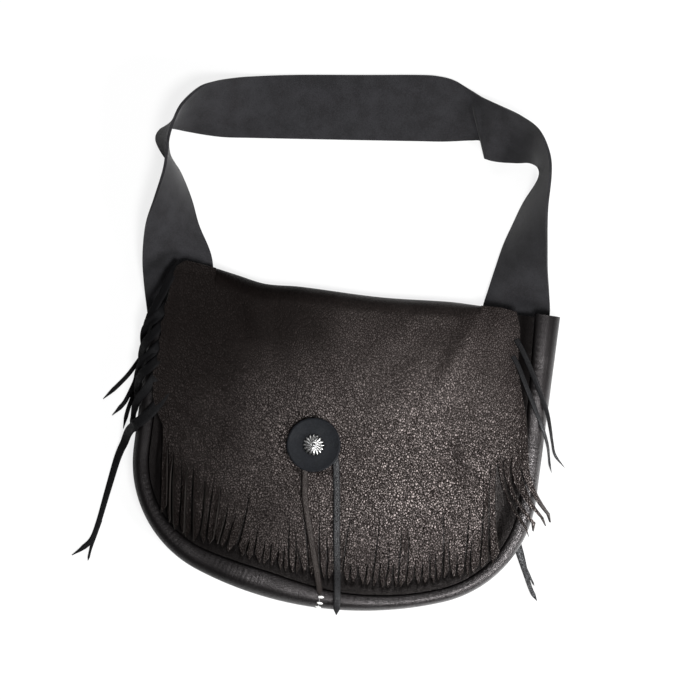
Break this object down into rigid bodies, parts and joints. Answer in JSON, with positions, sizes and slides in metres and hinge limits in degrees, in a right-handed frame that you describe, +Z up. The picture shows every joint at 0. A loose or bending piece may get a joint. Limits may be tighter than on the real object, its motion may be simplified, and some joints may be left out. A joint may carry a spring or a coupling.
{
  "type": "fringe bag",
  "caption": "Black leather shoulder bag with a fringed flap, a rolled gusset, a wide flat strap and a round button with a fluted silver concho.",
  "frame": {"origin": "on the flat underside of the back panel, on the bag's centre line, 141 mm up from the lowest point of its outline", "axes": "+X to the right along the mouth, +Y up the bag from its round bottom to the strap, +Z up from the floor through the back panel to the flap"},
  "size_m": [0.4298, 0.4861, 0.0584],
  "materials": {
    "body_leather": "pebbled, slightly glossy black with a brown cast",
    "strap_suede": "matte suede, flesh side up",
    "button_leather": "matte, blue-black, slightly mottled",
    "lace_leather": "satin",
    "concho_silver": "polished silver"
  },
  "bodies": {
    "root": {"back_panel_with_flap": "body_leather", "front_panel": "body_leather", "gusset_left": "body_leather", "gusset_right": "body_leather", "shoulder_strap": "strap_suede", "button_disc": "button_leather", "concho": "concho_silver", "closure_lace": "lace_leather"}
  },
  "joints": []
}
